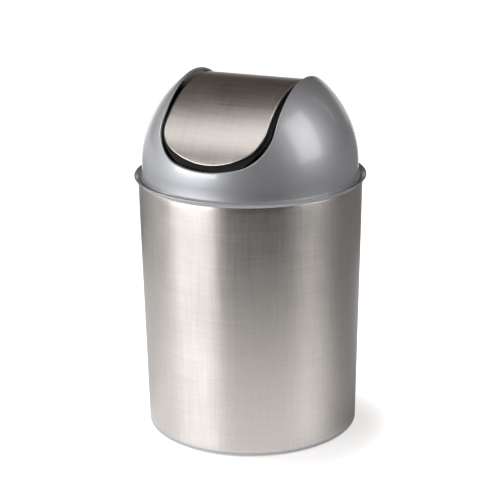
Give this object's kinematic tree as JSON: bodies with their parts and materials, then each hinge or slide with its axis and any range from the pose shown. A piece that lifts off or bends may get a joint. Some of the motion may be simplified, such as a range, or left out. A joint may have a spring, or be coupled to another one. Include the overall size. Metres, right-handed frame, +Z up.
{
  "type": "countertop swing-lid bin",
  "caption": "Round countertop waste bin: a tapered brushed-metal sleeve, a lift-out bucket with a flared rim, and a domed lid whose curved flap swings both ways.",
  "frame": {"origin": "centre of the footprint on the worktop, under the bin's vertical axis", "axes": "+Z up along the bin's axis, -Y towards the front of the flap, +X to the right seen from the front"},
  "size_m": [0.14, 0.14, 0.2191],
  "materials": {
    "brushed_nickel": "fine crossed brushing, warm nickel tone",
    "silver_plastic": "glossy silver-grey moulded plastic with a metallic fleck",
    "black_plastic": "matte black moulded plastic",
    "pad_rubber": "soft matte rubber",
    "pin_plastic": "smooth self-lubricating plastic"
  },
  "bodies": {
    "body": {"outer_sleeve": "brushed_nickel", "base_tray": "silver_plastic", "base_pads": "pad_rubber"},
    "bucket": {"inner_bucket": "silver_plastic"},
    "lid": {"lid_dome": "silver_plastic"},
    "flap": {"flap_frame": "black_plastic", "flap_face": "brushed_nickel", "pivot_pin_left": "pin_plastic", "pivot_pin_right": "pin_plastic"}
  },
  "joints": [
    {"name": "bucket_lift", "type": "slide", "parent": "body", "child": "bucket", "axis": [0, 0, 1], "range_m": [0, 0.165]},
    {"name": "lid_lift", "type": "slide", "parent": "bucket", "child": "lid", "axis": [0, 0, 1], "range_m": [0, 0.1]},
    {"name": "flap_swing", "type": "hinge", "parent": "lid", "child": "flap", "pos_m": [0, 0, 0.2086], "axis": [1, 0, 0], "range_deg": [-60, 60]}
  ]
}
